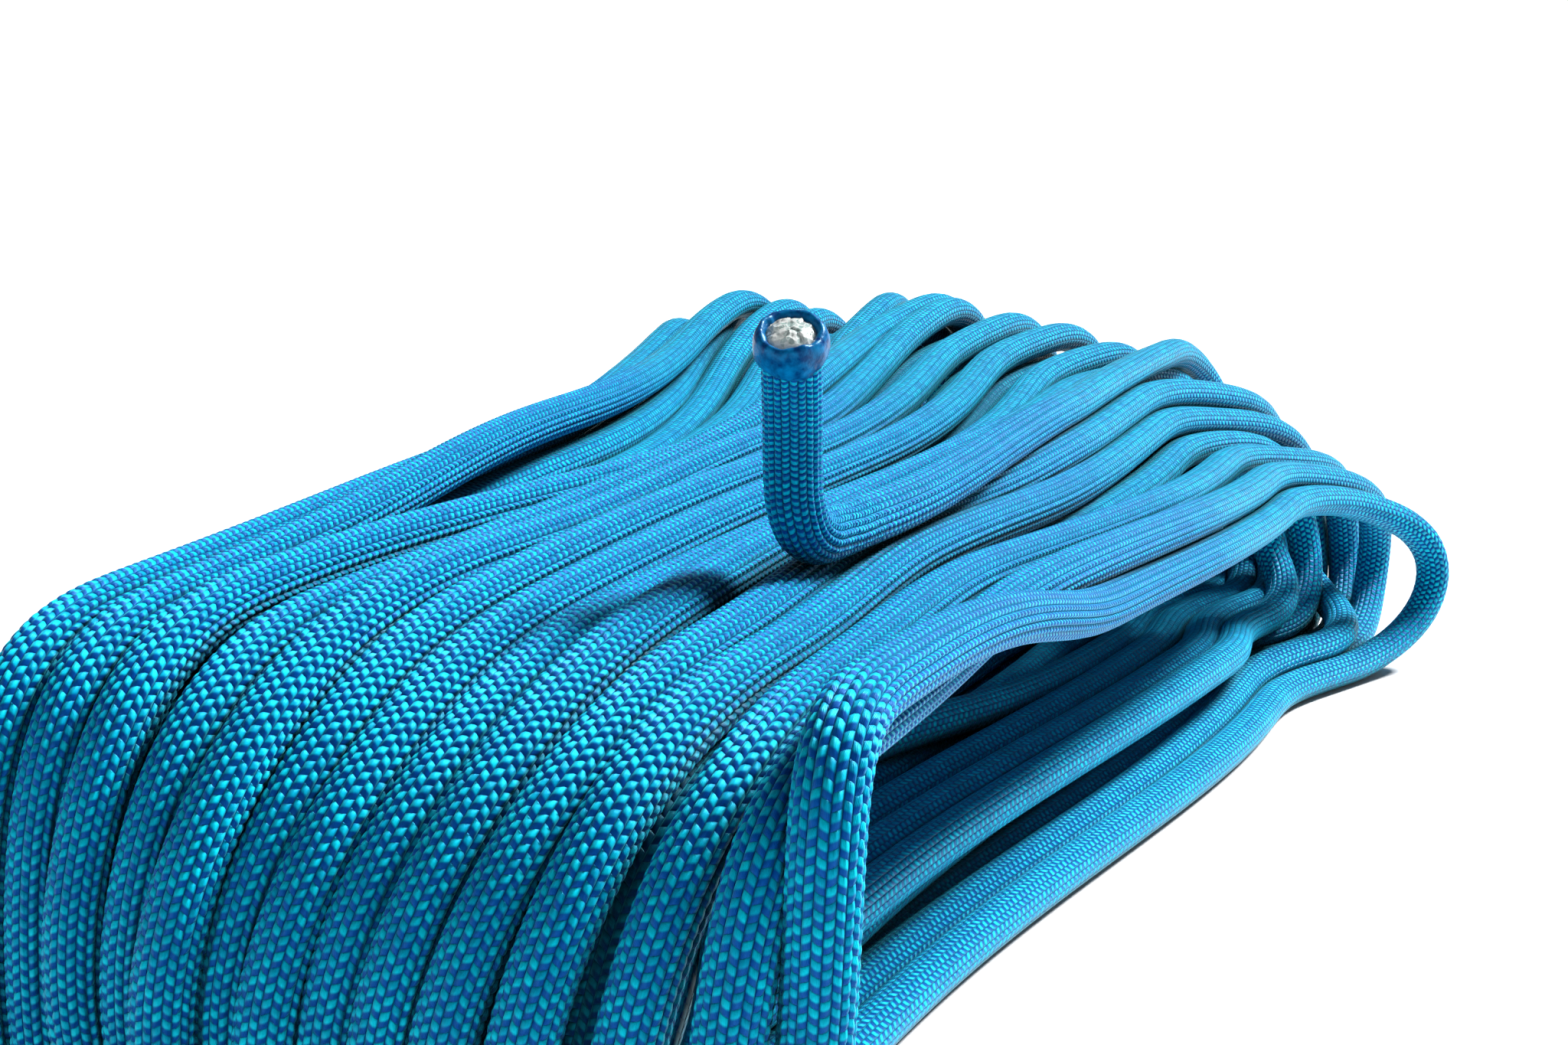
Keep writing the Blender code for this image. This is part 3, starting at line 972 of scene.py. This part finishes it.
def melted_core_material():
    """Core yarns melted into cloudy, glassy nylon, with a green cast in some of its cells."""
    n = Nodes("melted_core_nylon")
    place = n.add("ShaderNodeNewGeometry").outputs["Position"]
    cell = n.add("ShaderNodeTexVoronoi", feature="F1")
    cell.inputs["Scale"].default_value = 2300.0
    n.link(place, cell.inputs["Vector"])
    crack = n.add("ShaderNodeTexVoronoi", feature="DISTANCE_TO_EDGE")
    crack.inputs["Scale"].default_value = 2300.0
    n.link(place, crack.inputs["Vector"])
    tone = n.add("ShaderNodeSeparateColor")
    n.link(cell.outputs["Color"], tone.inputs[0])
    base = n.mix(tone.outputs[0], (0.30, 0.46, 0.44), (0.92, 0.94, 0.92))
    cracked = n.spread(crack.outputs["Distance"], 0.0, 0.12, 0.8, 0.0)
    base = n.mix(cracked, base, (0.95, 0.97, 0.95))
    n.link(base, n.shader.inputs["Base Color"])
    n.bump(cell.outputs["Distance"], 0.00012, strength=0.7)
    n.link(n.spread(tone.outputs[1], 0.0, 1.0, 0.05, 0.22), n.shader.inputs["Roughness"])
    n.put({
        "Transmission Weight": 0.35,
        "IOR": 1.53,
        "Coat Weight": 0.8,
        "Coat Roughness": 0.04,
    })
    return n.material


def floor_material(stage):
    """Pale, matt, and very slightly mottled."""
    n = Nodes("pale_floor")
    place = n.add("ShaderNodeNewGeometry").outputs["Position"]
    tone = n.spread(n.noise(6.0, 2.0, place), 0.3, 0.7)
    pale = tuple(stage.floor_colour)
    n.link(n.mix(tone, pale, tuple(c * 0.985 for c in pale)), n.shader.inputs["Base Color"])
    n.put({"Roughness": 0.75, "Specular IOR Level": 0.2})
    return n.material


# ---------------------------------------------------------------- the stage


class HANK_OT_stage(bpy.types.Operator):
    """Add the camera, the pale floor and the soft lights"""

    bl_idname = "hank.stage"
    bl_label = "Stage"

    def execute(self, context):
        stage = settings("hank_stage")
        place_camera()
        floor = make_floor(stage)
        light_stage(stage)
        return {"FINISHED"}


KEY_FROM = (0.53, -0.45, 0.76)
CAMERA_PLACE = (-0.2000, -0.0655, 0.0760)
CAMERA_TURN = 20.0
CAMERA_PITCH = 12.0
CAMERA_LENS = 50.0
CAMERA_SENSOR = 36.0
FLOOR_REACH = 6.0
# The room is white up to a low horizon and dims above it, as shares of the way to overhead
HORIZON_START = 0.045
HORIZON_END = 0.085
HORIZON_STRENGTH = 1.05


def place_camera():
    """The camera, low over the near end and turned towards the far one."""
    camera = bpy.data.cameras.new("camera")
    camera.lens = CAMERA_LENS
    camera.sensor_width = CAMERA_SENSOR
    camera.clip_start = 0.005
    camera.clip_end = 20.0
    made = bpy.data.objects.new("camera", camera)
    bpy.context.scene.collection.objects.link(made)
    made.location = CAMERA_PLACE
    made.rotation_euler = (math.radians(90 - CAMERA_PITCH), 0.0, math.radians(CAMERA_TURN - 90))
    bpy.context.scene.camera = made


def make_floor(stage):
    """A plain square floor."""
    corners = ((-1, -1, 0), (1, -1, 0), (1, 1, 0), (-1, 1, 0))
    coords = np.array(corners) * FLOOR_REACH
    floor = mesh_object("floor", coords, np.arange(4, dtype=np.int32), np.array([4], np.int32))
    floor.data.materials.append(floor_material(stage))
    return floor


def light_stage(stage):
    """A soft key from behind and to the right, in a room that is white near the horizon."""
    light = bpy.data.lights.new("key", "SUN")
    light.energy = stage.key_strength
    light.angle = math.radians(stage.key_softness)
    made = bpy.data.objects.new("key", light)
    bpy.context.scene.collection.objects.link(made)
    made.rotation_euler = Vector(KEY_FROM).to_track_quat("Z", "Y").to_euler()

    world = bpy.data.worlds.new("studio")
    world.use_nodes = True
    tree = world.node_tree
    place = tree.nodes.new("ShaderNodeTexCoord")
    split = tree.nodes.new("ShaderNodeSeparateXYZ")
    fade = tree.nodes.new("ShaderNodeMapRange")
    fade.interpolation_type = "SMOOTHSTEP"
    fade.inputs["From Min"].default_value = HORIZON_START
    fade.inputs["From Max"].default_value = HORIZON_END
    fade.inputs["To Min"].default_value = HORIZON_STRENGTH
    fade.inputs["To Max"].default_value = stage.fill_strength
    tree.links.new(place.outputs["Generated"], split.inputs[0])
    tree.links.new(split.outputs[2], fade.inputs["Value"])
    tree.links.new(fade.outputs["Result"], tree.nodes["Background"].inputs[1])
    tree.nodes["Background"].inputs[0].default_value = (1.0, 1.0, 1.0, 1.0)
    bpy.context.scene.world = world
    bpy.context.scene.view_settings.view_transform = "Standard"
    bpy.context.scene.view_settings.look = "None"


# ---------------------------------------------------------------- the cord

# What one operator hands to the next
KEPT = {}
# How strongly the flat side of the cord turns to the outside of the hank, and how many points
# at the standing tip it leaves alone
SIDE_PULL = 0.08
FREE_TIP_POINTS = 10
# Points at each tip, where the cord is nearly round
STANDING_TIP_POINTS = 9
STANDING_TIP_FLATNESS = 0.02
TAIL_TIP_POINTS = 6
TAIL_TIP_FLATNESS = 0.03
# Points along the tail, which lies flat on the floor
TAIL_POINTS = 35
# The braid is built in relief on outer turns this far along and this high up
SEEN_BEFORE_X = 0.030
SEEN_ABOVE_Z = 0.016


class HANK_OT_cord(bpy.types.Operator):
    """Wind the cord, let it settle and give it its braid"""

    bl_idname = "hank.cord"
    bl_label = "Cord"

    def execute(self, context):
        cord = settings("hank_cord")
        hank = settings("hank_winding")
        radius = cord.diameter / 2
        route, layers, held = wound_route(cord, hank)
        line = spaced(route, SPACING)
        nearest = np.linspace(0, len(route) - 1, len(line))
        held = np.interp(nearest, np.arange(len(route)), held) > 0.5
        line = softened(line, held.astype(float))
        line = settle(line, held.astype(float), radius)
        layer = np.round(np.interp(nearest, np.arange(len(route)), layers)).astype(int)
        wanted = outward_of(line)
        wanted[layer < 0] = (0.0, 0.0, 1.0)
        wanted[:TAIL_POINTS] = (0.0, 0.0, 1.0)
        pull = np.full(len(line), SIDE_PULL)
        pull[-FREE_TIP_POINTS:] = 0.0
        ahead, side = carried_sides(line, wanted, pull)
        flat = np.full(len(line), cord.flatness)
        flat[-STANDING_TIP_POINTS:] = STANDING_TIP_FLATNESS
        flat[:TAIL_TIP_POINTS] = TAIL_TIP_FLATNESS
        seen = (layer <= 0) & (line[:, 0] < SEEN_BEFORE_X) & (line[:, 2] > SEEN_ABOVE_Z)
        seen[:TAIL_POINTS] = False
        along, places, is_fine = ring_places(line, seen.astype(int))
        made = braided_tube("cord", line, side, ahead, along, places, is_fine, cord, flat)
        made.data.materials.append(braid_material(cord))
        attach(made, BODY)
        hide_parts("hank_body", "standing_end_sheath", "tail_end_sheath")
        KEPT["path"] = spaced_at(line, along, places)
        KEPT["cord"] = made
        KEPT["ends"] = {
            "standing_end": (line[-1], ahead[-1], side[-1]),
            "tail_end": (line[0], -ahead[0], side[0]),
        }
        return {"FINISHED"}


class HANK_OT_core_yarns(bpy.types.Operator):
    """Give the core yarns inside both ends their finish"""

    bl_idname = "hank.core_yarns"
    bl_label = "Core yarns"

    def execute(self, context):
        finish = yarn_material()
        for name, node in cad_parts.items():
            if "core_yarn" in name:
                node.data.materials.clear()
                node.data.materials.append(finish)
        return {"FINISHED"}


# ---------------------------------------------------------------- the melted ends

# Waves that add up to the lumps round a melted edge, and how fast they get lower
LUMP_WAVES = (3, 15)
LUMP_TWIST = 3
LUMP_FADE = 0.8
RIM_COLUMNS = 96
RIM_RINGS = 28
RIM_LUMP = 0.00007
RIM_THICKNESS = 0.00052
RIM_THICKNESS_WAVES = 5
RIM_UNEVEN = 0.10
RIM_REACH = 0.00203
RIM_HEIGHT = 0.00130
RIM_HEIGHT_WAVES = 3
RIM_HEIGHT_UNEVEN = 0.00012
RIM_DROP = 0.00020
CORE_COLUMNS = 72
CORE_RINGS = 20
CORE_FACETS = 46
CORE_FACET_AREA = 0.0017
CORE_FACET_TILT = 0.16
CORE_FACET_LIFT = 0.00005
CORE_REACH = 0.00176
CORE_MIDDLE_REACH = 0.00002
CORE_FOOT = 0.0003
CORE_DOME = 0.00095
CORE_BASE_REACH = 0.00165
CORE_BASE = 0.0002
CORE_FACETS_FROM = 4
CORE_SEED = 40
FIRST_SEED = 3


def ring_lumps(angle, height, seed):
    """Smooth lumps round a melted edge."""
    rng = np.random.default_rng(seed)
    lumps = np.zeros_like(angle)
    for wave in range(*LUMP_WAVES):
        phase = rng.uniform(0, 2 * math.pi)
        twist = height * rng.uniform(-LUMP_TWIST, LUMP_TWIST)
        lumps += np.sin(wave * angle + phase + twist) / wave ** LUMP_FADE
    return lumps


def around(side, other, angle):
    """Directions round an end at each angle, in the plane of side and other."""
    return side * np.cos(angle)[:, None] + other * np.sin(angle)[:, None]


def lofted(name, rings, closed_ends):
    """A closed skin over rings of points."""
    count, columns = rings.shape[:2]
    coords = rings.reshape(-1, 3)
    j = np.arange(columns)
    k = (j + 1) % columns
    low = (np.arange(count - 1) * columns)[:, None]
    quads = np.stack([low + j, low + k, low + columns + k, low + columns + j], axis=-1)
    loops = [quads.reshape(-1)]
    totals = [np.full((count - 1) * columns, 4)]
    if closed_ends:
        coords = np.concatenate([coords, [rings[0].mean(0)], [rings[-1].mean(0)]])
        first, last = len(coords) - 2, len(coords) - 1
        low_fan = np.stack([k, j, np.full(columns, first)], axis=-1)
        top = (count - 1) * columns
        high_fan = np.stack([top + j, top + k, np.full(columns, last)], axis=-1)
        loops += [low_fan.reshape(-1), high_fan.reshape(-1)]
        totals += [np.full(columns, 3), np.full(columns, 3)]
    else:
        low = np.full(columns, (count - 1) * columns)
        seam = np.stack([low + j, low + k, k, j], axis=-1)
        loops.append(seam.reshape(-1))
        totals.append(np.full(columns, 4))
    return mesh_object(
        name, coords,
        np.concatenate(loops).astype(np.int32), np.concatenate(totals).astype(np.int32),
    )


def melted_rim(prefix, tip, ahead, side, seed):
    """The sheath's end, melted into a lumpy collar."""
    other = np.cross(ahead, side)
    angle = np.linspace(0, 2 * math.pi, RIM_COLUMNS, endpoint=False)
    section = np.linspace(0, 2 * math.pi, RIM_RINGS, endpoint=False)
    rings = np.empty((RIM_RINGS, RIM_COLUMNS, 3))
    body = RIM_THICKNESS * (1 + RIM_UNEVEN * np.sin(RIM_THICKNESS_WAVES * angle + seed))
    tall = RIM_HEIGHT + RIM_HEIGHT_UNEVEN * np.sin(RIM_HEIGHT_WAVES * angle + seed)
    for i, t in enumerate(section):
        lump = ring_lumps(angle, math.cos(t), seed) * RIM_LUMP
        reach = RIM_REACH + (body + lump) * math.cos(t)
        height = -RIM_DROP + (tall + lump) * math.sin(t)
        place = tip + ahead * height[:, None]
        rings[i] = place + around(side, other, angle) * reach[:, None]
    made = lofted(prefix + "_melt_rim", rings, closed_ends=False)
    soft = made.modifiers.new("soft", "SUBSURF")
    soft.levels = 1
    soft.render_levels = 1
    return made


def melted_core(prefix, tip, ahead, side, seed):
    """The core's end, melted into a low dome with small flats."""
    other = np.cross(ahead, side)
    rng = np.random.default_rng(seed + CORE_SEED)
    angle = np.linspace(0, 2 * math.pi, CORE_COLUMNS, endpoint=False)
    centres = rng.uniform(-CORE_FACET_AREA, CORE_FACET_AREA, (CORE_FACETS, 2))
    tilts = rng.normal(0, CORE_FACET_TILT, (CORE_FACETS, 2))
    lifts = rng.normal(0, CORE_FACET_LIFT, CORE_FACETS)
    rings = [tip + around(side, other, angle) * CORE_BASE_REACH + ahead * CORE_BASE]
    for i in range(CORE_RINGS):
        share = i / (CORE_RINGS - 1)
        reach = CORE_REACH * math.cos(share * math.pi / 2) + CORE_MIDDLE_REACH
        flat = np.stack([np.cos(angle) * reach, np.sin(angle) * reach], axis=1)
        apart = np.linalg.norm(flat[:, None, :] - centres[None], axis=2)
        cell = apart.argmin(axis=1)
        facet = ((flat - centres[cell]) * tilts[cell]).sum(1) + lifts[cell]
        facet = facet * min(1.0, share * CORE_FACETS_FROM)
        height = CORE_FOOT + CORE_DOME * math.sin(share * math.pi / 2) + facet
        place = tip + ahead * height[:, None]
        rings.append(place + side * flat[:, :1] + other * flat[:, 1:])
    return lofted(prefix + "_melt_core", np.array(rings), closed_ends=True)


class HANK_OT_melted_ends(bpy.types.Operator):
    """Melt both ends of the cord shut"""

    bl_idname = "hank.melted_ends"
    bl_label = "Melted ends"

    def execute(self, context):
        rim_finish = melted_rim_material()
        core_finish = melted_core_material()
        KEPT["end_pieces"] = []
        for seed, (prefix, end) in enumerate(KEPT["ends"].items(), FIRST_SEED):
            rim = melted_rim(prefix, *end, seed)
            rim.data.materials.append(rim_finish)
            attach(rim, BODY)
            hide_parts(prefix + "_melted_rim")
            core = melted_core(prefix, *end, seed)
            core.data.materials.append(core_finish)
            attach(core, BODY)
            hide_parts(prefix + "_melted_core")
            KEPT["end_pieces"] += [rim, core]
        return {"FINISHED"}


class HANK_OT_declare_cord(bpy.types.Operator):
    """Reads the cord's settings and the last point of its path, and does nothing with them"""

    bl_idname = "hank.declare_cord"
    bl_label = "Declare cord"

    def execute(self, context):
        cord = settings("hank_cord")
        tuple(KEPT["path"][-1])
        return {"FINISHED"}


# ---------------------------------------------------------------- the add-on


class HANK_PT_panel(bpy.types.Panel):
    """Buttons for the hank's pieces"""

    bl_idname = "HANK_PT_panel"
    bl_label = "Cord hank"
    bl_space_type = "VIEW_3D"
    bl_region_type = "UI"
    bl_category = "Cord hank"

    def draw(self, context):
        for operator in OPERATORS:
            self.layout.operator(operator.bl_idname)


OPERATORS = (
    HANK_OT_stage, HANK_OT_cord, HANK_OT_core_yarns, HANK_OT_melted_ends, HANK_OT_declare_cord,
)
CLASSES = (CordSettings, HankSettings, StageSettings, *OPERATORS, HANK_PT_panel)


def register():
    for each in CLASSES:
        bpy.utils.register_class(each)
    scene = bpy.types.Scene
    scene.hank_cord = bpy.props.PointerProperty(type=CordSettings)
    scene.hank_winding = bpy.props.PointerProperty(type=HankSettings)
    scene.hank_stage = bpy.props.PointerProperty(type=StageSettings)


def unregister():
    for name in ("hank_cord", "hank_winding", "hank_stage"):
        delattr(bpy.types.Scene, name)
    for each in reversed(CLASSES):
        bpy.utils.unregister_class(each)


def main():
    """Build everything."""
    register()
    bpy.ops.hank.stage()
    bpy.ops.hank.cord()
    bpy.ops.hank.core_yarns()
    bpy.ops.hank.melted_ends()
    bpy.ops.hank.declare_cord()


if __name__ == "__main__":
    main()
